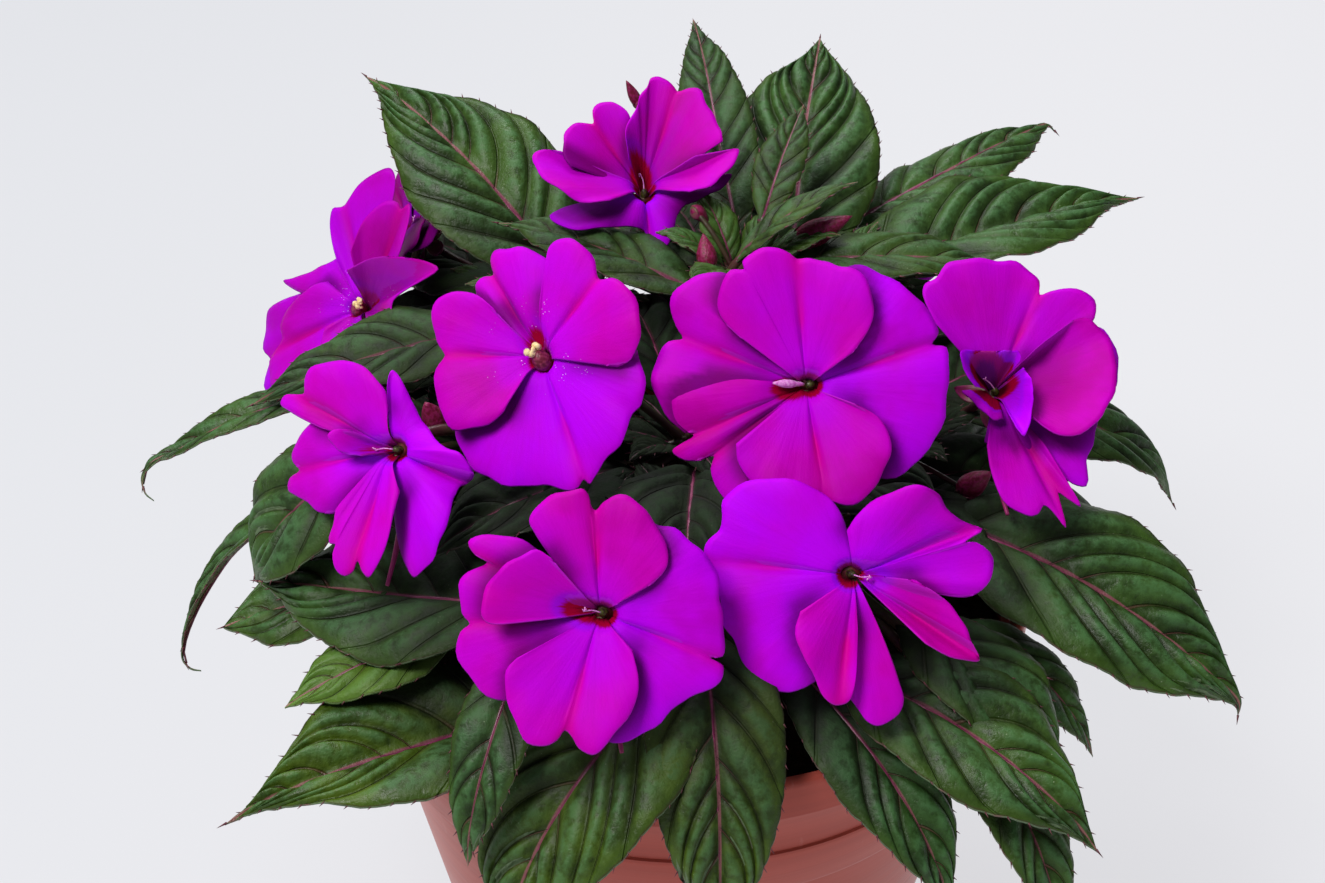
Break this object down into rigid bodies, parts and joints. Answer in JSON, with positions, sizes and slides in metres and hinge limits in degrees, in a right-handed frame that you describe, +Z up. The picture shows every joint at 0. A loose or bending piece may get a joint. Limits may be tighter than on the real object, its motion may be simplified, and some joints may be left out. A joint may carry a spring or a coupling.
{
  "type": "potted busy lizzie",
  "caption": "Flowering busy lizzie of the New Guinea kind, with pointed toothed leaves and magenta flowers, growing in a tapered plastic flower pot.",
  "frame": {"origin": "centre of the pot's underside, on the surface it stands on", "axes": "+Z up along the pot's axis, -Y towards the side with the most flowers facing out, +X to the right seen from there"},
  "size_m": [0.2414, 0.2361, 0.2202],
  "materials": {
    "pot_plastic": "satin terracotta-coloured plastic",
    "soil": "matt, crumbly",
    "leaf": "soft sheen, quilted between the veins",
    "petal": "velvety"
  },
  "bodies": {
    "root": {"pot": "pot_plastic", "potting_soil": "soil", "leafy_stem_crown": "leaf", "leafy_stem_back_left": "leaf", "leafy_stem_left": "leaf", "leafy_stem_front_left": "leaf", "leafy_stem_front": "leaf", "leafy_stem_front_right": "leaf", "leafy_stem_right": "leaf", "leafy_stem_back_right": "leaf", "leafy_stem_back": "leaf", "leafy_stem_far_back_left": "leaf", "leafy_stem_middle": "leaf", "bloom_centre_right": "petal", "bloom_upper_left": "petal", "bloom_top": "petal", "bloom_front_left": "petal", "bloom_front_right": "petal", "bloom_left": "petal", "bloom_far_left": "petal", "bloom_far_left_back": "petal", "bloom_right": "petal", "bloom_back_right": "petal", "bloom_back": "petal", "bloom_back_left": "petal"}
  },
  "joints": []
}
